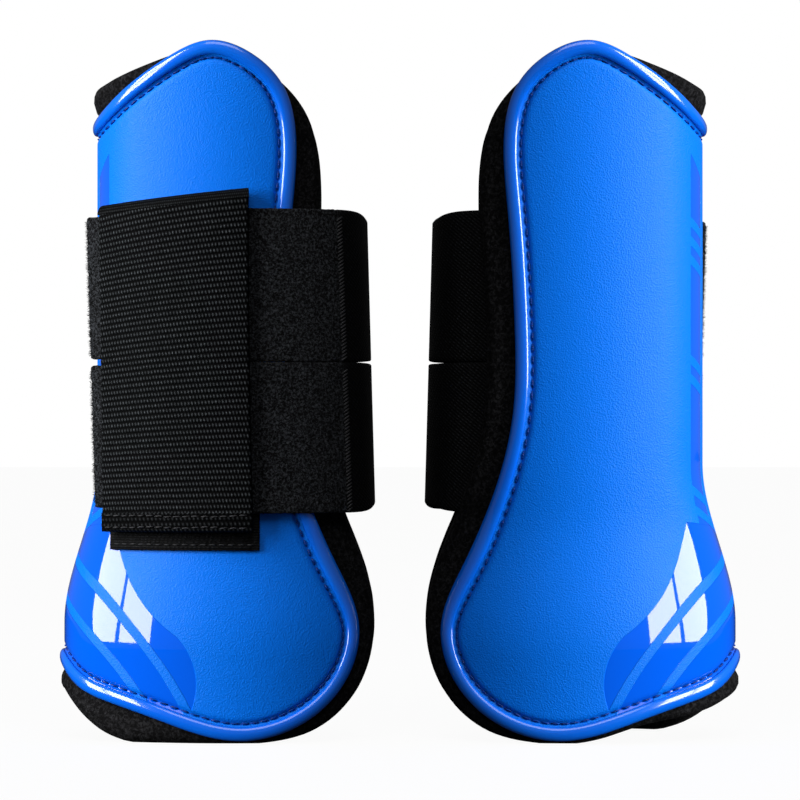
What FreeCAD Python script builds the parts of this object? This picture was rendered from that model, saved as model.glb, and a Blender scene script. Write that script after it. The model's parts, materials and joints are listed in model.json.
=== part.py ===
import FreeCAD, Part
import math
import os

from FreeCAD import Vector

# A pair of open-front tendon boots, in millimetres. Each boot is first made about its own upright
# centre line: +X is the front of the leg, -Y the outside, where the straps close, +Y the inside,
# +Z up, and it stands on z = 0. The second boot is the first turned half round.

# Where each boot stands in the pair.
boot_spacing = 118.0

# Horizontal section of the leg column, measured to the shell's outer face. It is an oval of four
# arcs: two flanks whose radius is twice the half depth, and a tighter arc at the back and front.
calf_back = 46.5
heel_back = 58.0
calf_front = 47.0
heel_front = 64.0
calf_half_depth = 34.0
heel_half_depth = 39.5
back_flare_top = 95.0
back_flare_length = 55.0
side_flare_top = 80.0
side_flare_length = 50.0
section_heights = (-6, 8, 20, 32, 44, 56, 68, 80, back_flare_top)
column_top = 252.0

# Layers, as distances outward from the shell's outer face.
shell_thickness = 3.0
layer_gap = 0.3
lining_outer = -shell_thickness - layer_gap
lining_inner = -9.5
lining_lip_outer = -1.0
piping_inner = 0.2
piping_outer = 1.5
piping_width = 5.0
edge_stitch_inset = 5.5
edge_stitch_width = 0.8
edge_stitch_outer = 0.6
hook_inner = 0.3
hook_outer = 1.6
far_outside = 6.0

# Side outlines, as (x, z) points that a smooth curve passes through. They run from behind the
# back, over the top, down the front edge and under the bottom to behind the back again.
behind = -75.0
shell_points = (
    (behind, 184), (-60, 200), (-49.6, 210.5), (-36.5, 223), (-20.8, 234), (-5.9, 239.8),
    (8, 235.5), (18.8, 224.8), (23.2, 208), (22.2, 184), (19.6, 140), (20.3, 112),
    (28.2, 81), (37.2, 60.3), (44.6, 40), (41.7, 24), (28.6, 8.6), (4.5, 1.2),
    (-23.4, 8.2), (-40, 13.6), (-52, 19), (-60, 29), (behind, 52),
)
lining_upper_points = (
    (behind, 214), (-60, 219), (-48, 224.5), (-30.5, 231.8), (-5.9, 237.5), (14, 230),
    (28.5, 215), (32.8, 195), (31.6, 160), (31, 122), (36, 93), (43.5, 74),
    (51, 50), (51.6, 34), (45, 16), (28.6, 3.2), (12, 0),
)
outer_flat_end = -34.8
outer_heel_points = ((outer_flat_end, 0), (-43, 3), (-55, 13.5), (-62, 23), (behind, 44))
inner_flat_end = -2.0
inner_heel_points = ((inner_flat_end, 0), (-11, 1.8), (-23, 5.4), (-43.7, 9.6), (-62, 19), (behind, 36))
edge_samples = 70

# Straps, on a circle about the centre of the outer flank, so that each tail slides round under
# the flap. Angles are measured about that centre from -Y, positive toward the front.
strap_height = 49.0
strap_bottoms = {"lower": 80.0, "upper": 131.0}
strap_radius = calf_half_depth * 2 + 2.8
tail_thickness = 1.6
elastic_thickness = 1.4
tail_tip_x = -47.2
seam_x = 39.5
elastic_bend_centre = (26.0, -2.0)
elastic_bend_points = ((45.6, -16.8), (48.3, -2.0), (45.4, 10.4), (39.2, 17.6))
elastic_meet_x = 31.0
elastic_end_x = 14.0
anchor_depth = 4.05
seam_width = 2.2
seam_lift = 0.1
seam_thickness = 0.6
strap_clearance = 0.3
pocket_depth = -4.95

# Closing flap of heavy webbing, folded over at its top.
flap_back_x = -43.7
flap_front_x = 7.6
flap_bottom = 72.0
flap_hook_radii = (72.1, 73.0)
flap_radii = (73.2, 75.2)
binding_radii = (73.2, 76.1)
binding_height = 6.0
flap_stitch_radii = (76.2, 76.6)
flap_stitch_band = (74.4, 75.2)
flap_hook_margin = 2.0
fold_centre_radius = 71.6
fold_radii = (1.6, 3.2)
fold_height = 183.2
fold_gap = 0.15
fold_tilt_degrees = 6.0
fold_sections = 9
hinge_radius = 72.5

# Hook tape sewn to the shell under the straps.
hook_back_x = -39.9
hook_front_x = 11.0
hook_bottom = 65.8
base_stitch_offsets = (1.7, 2.1)
base_stitch_band = (67.4, 68.2)


def smooth_step(t):
    t = min(max(t, 0.0), 1.0)
    return t * t * (3 - 2 * t)


def back_reach(z):
    return calf_back + (heel_back - calf_back) * smooth_step((back_flare_top - z) / back_flare_length)


def side_flare(z):
    return smooth_step((side_flare_top - z) / side_flare_length)


def front_reach(z):
    return calf_front + (heel_front - calf_front) * side_flare(z)


def half_depth(z):
    return calf_half_depth + (heel_half_depth - calf_half_depth) * side_flare(z)


def end_radius(reach, depth):
    # Radius of the end arc that is tangent to both flanks and reaches the given distance.
    return (3 * depth**2 - reach**2) / (2 * (2 * depth - reach))


def arc(start, middle, end):
    return Part.Arc(start, middle, end).toShape()


def oval(z, offset):
    # The section at one height, moved outward by the offset.
    depth = half_depth(z)
    back = back_reach(z)
    front = front_reach(z)
    back_centre = end_radius(back, depth) - back
    front_centre = front - end_radius(front, depth)

    def meeting(end_centre, side):
        flank_centre = Vector(0, -side * depth, 0)
        outward = (Vector(end_centre, 0, 0) - flank_centre).normalize()
        return flank_centre + outward * (2 * depth + offset) + Vector(0, 0, z)

    outer_back = meeting(back_centre, -1)
    outer_front = meeting(front_centre, -1)
    inner_back = meeting(back_centre, 1)
    inner_front = meeting(front_centre, 1)
    return Part.Wire([
        arc(inner_back, Vector(-back - offset, 0, z), outer_back),
        arc(outer_back, Vector(0, -depth - offset, z), outer_front),
        arc(outer_front, Vector(front + offset, 0, z), inner_front),
        arc(inner_front, Vector(0, depth + offset, z), inner_back),
    ])


def column(offset):
    # Straight round the calf, flaring toward the heel below it.
    heel = Part.makeLoft([oval(z, offset) for z in section_heights], True, False)
    calf = Part.Face(oval(back_flare_top, offset)).extrude(Vector(0, 0, column_top - back_flare_top))
    return heel.fuse(calf)


def wall(outer, inner):
    return column(outer).cut(column(inner))


def box(x_range, y_range, z_range):
    size = [high - low for low, high in (x_range, y_range, z_range)]
    corner = Vector(x_range[0], y_range[0], z_range[0])
    return Part.makeBox(*size, corner)


def smooth_curve(points):
    curve = Part.BSplineCurve()
    curve.interpolate([Vector(x, 0, z) for x, z in points])
    return curve


def moved_inward(curve, distance):
    # The same curve moved toward the shell's middle, which lies on its right-hand side.
    moved = []
    for step in range(edge_samples + 1):
        along = curve.FirstParameter + (curve.LastParameter - curve.FirstParameter) * step / edge_samples
        heading = curve.tangent(along)[0]
        inward = Vector(heading.z, 0, -heading.x)
        moved.append(curve.value(along) + inward * distance)
    result = Part.BSplineCurve()
    result.interpolate(moved)
    return result


def prism(edges, y_low, y_high):
    # A closed side outline, pushed through the boot from y_low to y_high.
    start = edges[0].Vertexes[0].Point
    end = edges[-1].Vertexes[-1].Point
    outline = Part.Wire(edges + [Part.LineSegment(end, start).toShape()])
    outline.translate(Vector(0, y_low, 0))
    return Part.Face(outline).extrude(Vector(0, y_high - y_low, 0))


def shell_prism(inset):
    edge = moved_inward(smooth_curve(shell_points), inset)
    return prism([edge.toShape()], -60, 60)


def lining_prism(heel_points, y_low, y_high):
    upper = smooth_curve(lining_upper_points)
    flat = Part.LineSegment(upper.value(upper.LastParameter), Vector(heel_points[0][0], 0, 0))
    edges = [upper.toShape(), flat.toShape(), smooth_curve(heel_points).toShape()]
    return prism(edges, y_low, y_high)


def make_shell():
    return wall(0, -shell_thickness).common(shell_prism(0))


def make_edge_piping():
    band = shell_prism(0).cut(shell_prism(piping_width))
    return wall(piping_outer, piping_inner).common(band)


def make_edge_stitching():
    band = shell_prism(edge_stitch_inset).cut(shell_prism(edge_stitch_inset + edge_stitch_width))
    return wall(edge_stitch_outer, piping_inner).common(band)


def make_lining():
    # A padded sheet whose edge swells into a thick lip all round the shell's rim.
    outer_half = lining_prism(outer_heel_points, -60, 0)
    inner_half = lining_prism(inner_heel_points, 0, 60)
    padded = wall(lining_lip_outer, lining_inner).common(outer_half.fuse(inner_half))
    behind_shell = wall(far_outside, lining_outer).common(shell_prism(-layer_gap))
    lining = padded.cut(behind_shell)
    hollow = wall(far_outside, pocket_depth)
    for bottom in strap_bottoms.values():
        heights = (bottom - strap_clearance, bottom + strap_height + strap_clearance)
        lining = lining.cut(hollow.common(box((elastic_end_x - 1, 60), (0, 60), heights)))
    return lining.removeSplitter()


def on_flank(radius, angle, z=0.0):
    # A point on a circle about the outer flank's centre.
    return Vector(radius * math.sin(angle), calf_half_depth - radius * math.cos(angle), z)


def angle_at(x, radius):
    return math.asin(x / radius)


def flank_panel(radii, angles, heights):
    # A curved plate between two radii about the outer flank's centre.
    low, high = radii
    first, last = angles
    middle = (first + last) / 2
    outline = Part.Wire([
        arc(on_flank(high, first), on_flank(high, middle), on_flank(high, last)),
        Part.LineSegment(on_flank(high, last), on_flank(low, last)).toShape(),
        arc(on_flank(low, last), on_flank(low, middle), on_flank(low, first)),
        Part.LineSegment(on_flank(low, first), on_flank(high, first)).toShape(),
    ])
    outline.translate(Vector(0, 0, heights[0]))
    return Part.Face(outline).extrude(Vector(0, 0, heights[1] - heights[0]))


flap_angles = (angle_at(flap_back_x, flap_radii[0]), angle_at(flap_front_x, flap_radii[0]))
flap_middle = sum(flap_angles) / 2
fold_slope = math.tan(math.radians(fold_tilt_degrees))


def fold_line(angle):
    # Height of the flap's fold, which rises toward the front along the chord of the curved flap.
    return fold_height + fold_slope * fold_centre_radius * math.sin(angle - flap_middle)


def under_fold():
    # Everything just below the fold's sloping plane.
    half_width = 60.0
    depth = 200.0
    chord = Vector(math.cos(flap_middle), math.sin(flap_middle), 0)
    outward = Vector(math.sin(flap_middle), -math.cos(flap_middle), 0)
    centre = on_flank(fold_centre_radius, flap_middle, fold_height - fold_gap)
    rise = Vector(0, 0, fold_slope * half_width)
    corners = [
        centre - chord * half_width - rise,
        centre + chord * half_width + rise,
        centre + chord * half_width - Vector(0, 0, depth),
        centre - chord * half_width - Vector(0, 0, depth),
    ]
    side = Part.Face(Part.makePolygon(corners + corners[:1]))
    side.translate(outward * -half_width)
    return side.extrude(outward * 2 * half_width)


def make_hook_base():
    tape = wall(hook_outer, hook_inner).common(
        box((hook_back_x, hook_front_x), (-60, 0), (hook_bottom, fold_height + 20)))
    return tape.common(under_fold())


def make_base_stitching():
    outer, inner = base_stitch_offsets[1], base_stitch_offsets[0]
    return wall(outer, inner).common(
        box((hook_back_x + 1.5, hook_front_x - 1.5), (-60, 0), base_stitch_band))


def make_flap_webbing():
    panel = flank_panel(flap_radii, flap_angles, (flap_bottom + binding_height, fold_height + 20))
    return panel.common(under_fold())


def make_flap_end_binding():
    return flank_panel(binding_radii, flap_angles, (flap_bottom, flap_bottom + binding_height))


def make_flap_hook():
    margin = flap_hook_margin / flap_hook_radii[0]
    angles = (flap_angles[0] + margin, flap_angles[1] - margin)
    return flank_panel(flap_hook_radii, angles, (flap_bottom + flap_hook_margin, fold_height - 6))


def make_flap_stitching():
    margin = flap_hook_margin / flap_radii[0]
    angles = (flap_angles[0] + margin, flap_angles[1] - margin)
    return flank_panel(flap_stitch_radii, angles, flap_stitch_band)


def make_flap_fold():
    # Half a tube along the flap's top edge, through sections square to the curved edge.
    sections = []
    small, large = fold_radii
    for step in range(fold_sections):
        angle = flap_angles[0] + (flap_angles[1] - flap_angles[0]) * step / (fold_sections - 1)
        centre = on_flank(fold_centre_radius, angle, fold_line(angle))
        outward = on_flank(1, angle) - on_flank(0, angle)
        up = Vector(0, 0, 1)
        sections.append(Part.Wire([
            arc(centre - outward * large, centre + up * large, centre + outward * large),
            Part.LineSegment(centre + outward * large, centre + outward * small).toShape(),
            arc(centre + outward * small, centre + up * small, centre - outward * small),
            Part.LineSegment(centre - outward * small, centre - outward * large).toShape(),
        ]))
    return Part.makeLoft(sections, True, False)


seam_angle = angle_at(seam_x, strap_radius)
tip_angle = angle_at(tail_tip_x, strap_radius)


def make_strap_tail(bottom):
    radii = (strap_radius - tail_thickness / 2, strap_radius + tail_thickness / 2)
    return flank_panel(radii, (tip_angle, seam_angle), (bottom, bottom + strap_height))


def make_strap_seam(bottom):
    inner = strap_radius + tail_thickness / 2 + seam_lift
    half = seam_width / 2 / strap_radius
    angles = (seam_angle - half, seam_angle + half)
    return flank_panel((inner, inner + seam_thickness), angles, (bottom, bottom + strap_height))


def make_strap_elastic(bottom):
    # From the tail's end, round the front of the leg, to the pocket behind the inner front edge.
    anchor_radius = 2 * calf_half_depth - anchor_depth
    meet_angle = angle_at(elastic_meet_x, anchor_radius)
    end_angle = angle_at(elastic_end_x, anchor_radius)

    def on_anchor(radius, angle):
        return Vector(radius * math.sin(angle), radius * math.cos(angle) - calf_half_depth, 0)

    def face(offset):
        # One face of the band, as a smooth curve.
        anchor = anchor_radius + offset
        tuck_angles = [meet_angle + (end_angle - meet_angle) * step / 3 for step in range(4)]
        points = [on_flank(strap_radius + offset, seam_angle)]
        for x, y in elastic_bend_points:
            outward = Vector(x - elastic_bend_centre[0], y - elastic_bend_centre[1], 0).normalize()
            points.append(Vector(x, y, 0) + outward * offset)
        curve = Part.BSplineCurve()
        curve.interpolate(points + [on_anchor(anchor, angle) for angle in tuck_angles])
        return curve.toShape()

    outside = face(elastic_thickness / 2)
    inside = face(-elastic_thickness / 2)
    ends = [
        Part.LineSegment(outside.Vertexes[place].Point, inside.Vertexes[place].Point).toShape()
        for place in (0, -1)
    ]
    outline = Part.Wire(Part.__sortEdges__([outside, ends[1], inside, ends[0]]))
    outline.translate(Vector(0, 0, bottom))
    return Part.Face(outline).extrude(Vector(0, 0, strap_height))


def make_boot():
    pieces = {
        "shell": make_shell(),
        "edge_piping": make_edge_piping(),
        "edge_stitching": make_edge_stitching(),
        "lining": make_lining(),
        "hook_base": make_hook_base(),
        "base_stitching": make_base_stitching(),
        "flap_webbing": make_flap_webbing(),
        "flap_end_binding": make_flap_end_binding(),
        "flap_hook": make_flap_hook(),
        "flap_stitching": make_flap_stitching(),
        "flap_fold": make_flap_fold(),
    }
    for place, bottom in strap_bottoms.items():
        pieces[f"{place}_strap_tail"] = make_strap_tail(bottom)
        pieces[f"{place}_strap_elastic"] = make_strap_elastic(bottom)
        pieces[f"{place}_strap_seam"] = make_strap_seam(bottom)
    return pieces


def check_piece(name, shape):
    solids = len(shape.Solids)
    print(f"{name}: {solids} solid(s), {shape.Volume / 1000:.2f} cm3, valid {shape.isValid()}")


def main():
    os.makedirs("parts", exist_ok=True)
    for name, shape in make_boot().items():
        check_piece(name, shape)
        first = shape.copy()
        first.translate(Vector(-boot_spacing / 2, 0, 0))
        first.exportStep(f"parts/{name}_a.step")
        second = shape.copy()
        second.rotate(Vector(0, 0, 0), Vector(0, 0, 1), 180)
        second.translate(Vector(boot_spacing / 2, 0, 0))
        second.exportStep(f"parts/{name}_b.step")


main()
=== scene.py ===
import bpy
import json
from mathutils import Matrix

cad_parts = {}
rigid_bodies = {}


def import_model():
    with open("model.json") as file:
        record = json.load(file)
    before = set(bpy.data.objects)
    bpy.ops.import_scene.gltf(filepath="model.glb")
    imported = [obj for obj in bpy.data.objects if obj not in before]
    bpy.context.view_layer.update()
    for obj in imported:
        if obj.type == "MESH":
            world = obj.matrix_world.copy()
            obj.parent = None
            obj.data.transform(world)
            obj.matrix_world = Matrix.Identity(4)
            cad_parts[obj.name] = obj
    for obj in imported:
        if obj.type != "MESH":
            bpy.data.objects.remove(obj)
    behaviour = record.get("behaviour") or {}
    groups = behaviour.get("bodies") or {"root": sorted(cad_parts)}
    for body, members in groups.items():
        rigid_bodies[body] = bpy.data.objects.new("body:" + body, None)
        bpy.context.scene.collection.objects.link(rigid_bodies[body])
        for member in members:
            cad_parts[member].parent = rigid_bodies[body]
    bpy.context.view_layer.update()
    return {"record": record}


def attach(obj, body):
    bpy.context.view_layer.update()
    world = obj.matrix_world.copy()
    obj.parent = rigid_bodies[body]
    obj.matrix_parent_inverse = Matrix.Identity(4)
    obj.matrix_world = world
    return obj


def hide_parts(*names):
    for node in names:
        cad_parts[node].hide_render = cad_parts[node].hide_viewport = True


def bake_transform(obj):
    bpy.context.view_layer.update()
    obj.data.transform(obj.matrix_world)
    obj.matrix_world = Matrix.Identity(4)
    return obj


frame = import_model()

import json
import math
import random

import bmesh
import bpy
import numpy as np
from mathutils import Matrix, Vector, noise

mm = 0.001
mergeGap, stitchGap = 0.00001, 0.0000001  # how close vertices are merged, on sheets and on small stitches
record = frame["record"]
rng = random.Random(7)

# Each boot's place, read from the mount on its centre line. The second boot is turned half round.
bootPlaces = {}
for mount in record["mounts"]:
    if mount["name"].startswith("leg_"):
        letter = mount["name"][-1]
        turn = Matrix.Rotation(0 if letter == "a" else math.pi, 4, "Z")
        bootPlaces[letter] = Matrix.Translation((mount["pos_m"][0], 0, 0)) @ turn

# The leg column that every shell piece is wrapped round, in millimetres.
column = {
    "calfBack": 46.5, "heelBack": 58.0, "calfFront": 47.0, "heelFront": 64.0,
    "calfDepth": 34.0, "heelDepth": 39.5,
    "backFlareTop": 95.0, "backFlareLength": 55.0, "sideFlareTop": 80.0, "sideFlareLength": 50.0,
}


def smoothStep(t):
    t = min(max(t, 0.0), 1.0)
    return t * t * (3 - 2 * t)


def section(z):
    # Back reach, front reach and half depth of the oval at one height.
    c = column
    backFlare = smoothStep((c["backFlareTop"] - z) / c["backFlareLength"])
    sideFlare = smoothStep((c["sideFlareTop"] - z) / c["sideFlareLength"])
    back = c["calfBack"] + (c["heelBack"] - c["calfBack"]) * backFlare
    front = c["calfFront"] + (c["heelFront"] - c["calfFront"]) * sideFlare
    depth = c["calfDepth"] + (c["heelDepth"] - c["calfDepth"]) * sideFlare
    return back, front, depth


def endArc(reach, depth):
    # Radius, centre distance and half angle of the arc that closes an end of the oval.
    radius = (3 * depth**2 - reach**2) / (2 * (2 * depth - reach))
    centre = reach - radius
    return radius, centre, math.atan2(depth, centre)


def wrap(s, lift, z):
    # A point of the flat pattern, carried round the leg. s runs from the back centre line, to the
    # inner side where it is positive; lift is the distance outward from the shell's face.
    back, front, depth = section(z)
    backRadius, backCentre, backAngle = endArc(back, depth)
    frontRadius, frontCentre, frontAngle = endArc(front, depth)
    side = 1 if s >= 0 else -1
    run = abs(s)
    backRun = backRadius * backAngle
    flankStart = backAngle - math.pi / 2
    flankRun = 2 * depth * (math.pi - backAngle - frontAngle)
    if run < backRun:
        angle = run / backRadius
        x = -backCentre - (backRadius + lift) * math.cos(angle)
        y = (backRadius + lift) * math.sin(angle)
    elif run < backRun + flankRun:
        angle = flankStart + (run - backRun) / (2 * depth)
        x = (2 * depth + lift) * math.sin(angle)
        y = (2 * depth + lift) * math.cos(angle) - depth
    else:
        angle = frontAngle - (run - backRun - flankRun) / frontRadius
        x = frontCentre + (frontRadius + lift) * math.cos(angle)
        y = (frontRadius + lift) * math.sin(angle)
    return Vector((x, side * y, z)) * mm


def runTo(x, z):
    # How far round from the back centre line the shell's face reaches the given x.
    back, front, depth = section(z)
    backRadius, backCentre, backAngle = endArc(back, depth)
    frontRadius, frontCentre, frontAngle = endArc(front, depth)
    backRun = backRadius * backAngle
    if x < -backCentre - backRadius * math.cos(backAngle):
        return backRadius * math.acos(min(1.0, (-backCentre - x) / backRadius))
    if x < 2 * depth * math.cos(frontAngle):
        return backRun + 2 * depth * (math.asin(x / (2 * depth)) - backAngle + math.pi / 2)
    flankRun = 2 * depth * (math.pi - backAngle - frontAngle)
    turned = math.acos(min(1.0, (x - frontCentre) / frontRadius))
    return backRun + flankRun + frontRadius * (frontAngle - turned)


def smoothLine(points, count):
    # A natural cubic spline through a few points, sampled evenly.
    pts = np.array(points, float)
    knots = np.r_[0, np.cumsum(np.hypot(*np.diff(pts, axis=0).T))]
    gaps = np.diff(knots)
    size = len(knots)
    lhs = np.eye(size)
    rhs = np.zeros((size, 2))
    for k in range(1, size - 1):
        lhs[k, k - 1:k + 2] = gaps[k - 1], 2 * (gaps[k - 1] + gaps[k]), gaps[k]
        rhs[k] = 6 * ((pts[k + 1] - pts[k]) / gaps[k] - (pts[k] - pts[k - 1]) / gaps[k - 1])
    bend = np.linalg.solve(lhs, rhs)
    at = np.linspace(0, knots[-1], count)
    k = np.clip(np.searchsorted(knots, at) - 1, 0, size - 2)
    before = (at - knots[k])[:, None]
    after = (knots[k + 1] - at)[:, None]
    gap = gaps[k][:, None]
    curved = (bend[k] * after**3 + bend[k + 1] * before**3) / (6 * gap)
    curved += (pts[k] / gap - bend[k] * gap / 6) * after
    return curved + (pts[k + 1] / gap - bend[k + 1] * gap / 6) * before


class Outline:
    # The edge of a wrapped sheet on the flat pattern: one half, from the top of the back centre
    # line over the front edge to the bottom of the back centre line.
    steps = 800

    def __init__(self, sideLine, cornerHeights):
        raw = [(runTo(x, z), z) for x, z in sideLine if x > -section(z)[0]]
        raw = np.array([(0.0, raw[0][1])] + raw + [(0.0, raw[-1][1])])
        along = np.r_[0, np.cumsum(np.hypot(*np.diff(raw, axis=0).T))]
        even = np.linspace(0, along[-1], self.steps + 1)
        self.length = along[-1]
        self.points = np.column_stack([np.interp(even, along, raw[:, 0]), np.interp(even, along, raw[:, 1])])
        heading = np.gradient(self.points, axis=0)
        heading[0], heading[-1] = (1, 0), (-1, 0)
        for _ in range(6):
            heading[1:-1] = (heading[:-2] + heading[1:-1] + heading[2:]) / 3
        heading /= np.hypot(*heading.T)[:, None]
        self.inward = np.column_stack([heading[:, 1], -heading[:, 0]])
        top, bottom = cornerHeights
        peak = int(np.argmax(self.points[:, 1]))
        low = int(np.argmin(self.points[:, 1]))
        edge = range(peak, low)
        self.topCorner = min(edge, key=lambda k: abs(self.points[k, 1] - top)) / self.steps
        self.bottomCorner = min(edge, key=lambda k: abs(self.points[k, 1] - bottom)) / self.steps

    def at(self, t, inset=0.0):
        place = min(max(t, 0.0), 1.0) * self.steps
        k = min(int(place), self.steps - 1)
        part = place - k
        point = self.points[k] * (1 - part) + self.points[k + 1] * part
        inward = self.inward[k] * (1 - part) + self.inward[k + 1] * part
        return point + inward * inset

    def patch(self, u, v, inset):
        # A point inside the sheet: u from the back line to the front edge, v from bottom to top.
        top = self.at(self.topCorner * u, inset)
        bottom = self.at(1 - (1 - self.bottomCorner) * u, inset)
        front = self.at(self.bottomCorner + (self.topCorner - self.bottomCorner) * v, inset)
        corners = [self.at(t, inset) for t in (1, self.bottomCorner, 0, self.topCorner)]
        back = corners[0] * (1 - v) + corners[2] * v
        cross = ((1 - u) * (1 - v) * corners[0] + u * (1 - v) * corners[1]
                 + (1 - u) * v * corners[2] + u * v * corners[3])
        return bottom * (1 - v) + top * v + back * (1 - u) + front * u - cross

    def edgePlace(self, u, v, onFront):
        if onFront:
            return self.bottomCorner + (self.topCorner - self.bottomCorner) * v
        return self.topCorner * u if v > 0.5 else 1 - (1 - self.bottomCorner) * u


# The two side outlines, as the pattern maker draws them from the side.
behind = -75.0
shellLine = smoothLine((
    (behind, 184), (-60, 200), (-49.6, 210.5), (-36.5, 223), (-20.8, 234), (-5.9, 239.8),
    (8, 235.5), (18.8, 224.8), (23.2, 208), (22.2, 184), (19.6, 140), (20.3, 112),
    (28.2, 81), (37.2, 60.3), (44.6, 40), (41.7, 24), (28.6, 8.6), (4.5, 1.2),
    (-23.4, 8.2), (-40, 13.6), (-52, 19), (-60, 29), (behind, 52)), 1600)
liningUpper = smoothLine((
    (behind, 214), (-60, 219), (-48, 224.5), (-30.5, 231.8), (-5.9, 237.5), (14, 230),
    (28.5, 215), (32.8, 195), (31.6, 160), (31, 122), (36, 93), (43.5, 74),
    (51, 50), (51.6, 34), (45, 16), (28.6, 3.2), (12, 0.05)), 1200)
liningHeels = {
    -1: smoothLine(((-34.8, 0.05), (-43, 3), (-55, 13.5), (-62, 23), (behind, 44)), 400),
    1: smoothLine(((-2, 0.05), (-11, 1.8), (-23, 5.4), (-43.7, 9.6), (-62, 19), (behind, 36)), 400),
}
shellOutline = Outline(shellLine, (224, 20))


def liningSide(side):
    heel = liningHeels[side]
    flat = [(12 + (heel[0][0] - 12) * step / 40, 0.05) for step in range(1, 40)]
    return Outline(np.vstack([liningUpper, flat, heel]), (216, 14))


liningOutlines = {side: liningSide(side) for side in (-1, 1)}
print("patterns drawn")


def gridFrom(bm, columns, rows, placeVertex):
    # A flat grid whose vertices are put in place by a function of (u, v), both 0 to 1.
    made = bmesh.ops.create_grid(bm, x_segments=columns, y_segments=rows, size=1.0)["verts"]
    for vert in made:
        u, v = (vert.co.x + 1) / 2, (vert.co.y + 1) / 2
        vert.co = placeVertex(u, v)
    return made


def openEdges(bm):
    return [edge for edge in bm.edges if edge.is_boundary]


def growRim(bm, edges):
    # A new row of faces along the edges: its vertices, and its outer edges to grow from next.
    grown = bmesh.ops.extrude_edge_only(bm, edges=edges)["geom"]
    verts = [g for g in grown if isinstance(g, bmesh.types.BMVert)]
    fresh = set(verts)
    return verts, [g for g in grown if isinstance(g, bmesh.types.BMEdge) and fresh.issuperset(g.verts)]


def closeBack(bm, depth, columns, rows, placeVertex):
    # The face's rim is carried back to the given depth and joined to a coarser grid there.
    for vert in growRim(bm, openEdges(bm))[0]:
        vert.co.y = depth(vert.co)
    rim = openEdges(bm)
    back = gridFrom(bm, columns, rows, lambda u, v: placeVertex(0.01 + 0.98 * u, 0.01 + 0.98 * v))
    inner = [edge for edge in openEdges(bm) if edge.verts[0] in back]
    bmesh.ops.bridge_loops(bm, edges=rim + inner)


def mapPattern(bm):
    # The flat pattern's own map, in metres.
    uvLayer = bm.loops.layers.uv.new("pattern")
    for face in bm.faces:
        for loop in face.loops:
            loop[uvLayer].uv = (loop.vert.co.x * mm, loop.vert.co.z * mm)


def threadBar(bm, length, width, rise, bow):
    # One stitch, a small rounded bar that dips at its ends: each vertex with its place along, across and up.
    for vert in bmesh.ops.create_uvsphere(bm, u_segments=6, v_segments=5, radius=0.5)["verts"]:
        up = vert.co.y * rise - bow * (2 * vert.co.z) ** 2
        yield vert, vert.co.z * length, vert.co.x * width, up


def wrapAll(bm, tidy=mergeGap):
    mapPattern(bm)
    for vert in bm.verts:
        vert.co = wrap(vert.co.x, vert.co.y, vert.co.z)
    bmesh.ops.remove_doubles(bm, verts=bm.verts, dist=tidy)
    bmesh.ops.recalc_face_normals(bm, faces=bm.faces)


def toPieces(bm, name, bodyName, nodes, material, blendTo=None):
    # One object for each boot from one mesh, standing for its CAD nodes: it rides on its body, or with
    # blendTo it is baked in place and rides on none.
    mesh = bpy.data.meshes.new(name)
    bm.to_mesh(mesh)
    bm.free()
    for polygon in mesh.polygons:
        polygon.use_smooth = True
    mesh.materials.append(material)
    made = []
    for letter, place in bootPlaces.items():
        copy = mesh.copy()
        copy.transform(place)
        piece = bpy.data.objects.new(f"{name}_{letter}", copy)
        bpy.context.scene.collection.objects.link(piece)
        if blendTo:
            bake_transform(piece)
        else:
            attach(piece, f"{bodyName}_{letter}")
        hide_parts(*[f"{node}_{letter}" for node in nodes])
        made.append(piece)
    bpy.data.meshes.remove(mesh)
    print("made", name, len(made[0].data.polygons), "faces")
    return made


def sheetBody(outlines, profile, columns, rows, ripple=None):
    # A closed sheet on the flat pattern. The profile runs round its edge, as (inset, lift) steps
    # from the outer face to the inner one.
    bm = bmesh.new()
    along = bm.verts.layers.float.new("along")

    def face(inset, lift):
        def put(u, v):
            spread = 2 * u - 1
            side = 1 if spread >= 0 else -1
            s, z = outlines[side].patch(abs(spread), v, inset)
            return Vector((side * s, lift, z))
        return gridFrom(bm, columns, rows, put)

    outer = face(*profile[0])
    boundary = openEdges(bm)
    # Each edge vertex remembers its place along the outline, plus 1 so that both sides differ in sign.
    for number, vert in enumerate(outer):
        row, place = divmod(number, columns + 1)
        spread = 2 * place / columns - 1
        onFront = place in (0, columns)
        if onFront or row in (0, rows):
            side = 1 if spread >= 0 else -1
            vert[along] = side * (1 + outlines[side].edgePlace(abs(spread), row / rows, onFront))
    for inset, lift in profile[1:]:
        verts, boundary = growRim(bm, boundary)
        for vert in verts:
            side = 1 if vert[along] >= 0 else -1
            s, z = outlines[side].at(abs(vert[along]) - 1, inset)
            vert.co = Vector((side * s, lift, z))
    face(*profile[-1])
    bmesh.ops.remove_doubles(bm, verts=bm.verts, dist=0.02)
    if ripple:
        for vert in bm.verts:
            vert.co.y += ripple(vert.co)
    return bm


def rimBody(profile, segments):
    # A closed band that follows the shell's edge, its section given as (inset, lift) steps.
    bm = bmesh.new()
    along = bm.verts.layers.float.new("along")
    ring = bmesh.ops.create_circle(bm, cap_ends=False, segments=segments, radius=1.0)["verts"]
    for vert in ring:
        vert[along] = math.atan2(vert.co.x, vert.co.y) / math.pi

    def put(verts, inset, lift):
        for vert in verts:
            side = 1 if vert[along] >= 0 else -1
            s, z = shellOutline.at(abs(vert[along]), inset)
            vert.co = Vector((side * s, lift, z))

    put(ring, *profile[0])
    edges = list(bm.edges)
    for inset, lift in profile[1:] + profile[:1]:
        verts, edges = growRim(bm, edges)
        put(verts, inset, lift)
    bmesh.ops.remove_doubles(bm, verts=bm.verts, dist=0.001)
    return bm


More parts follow.
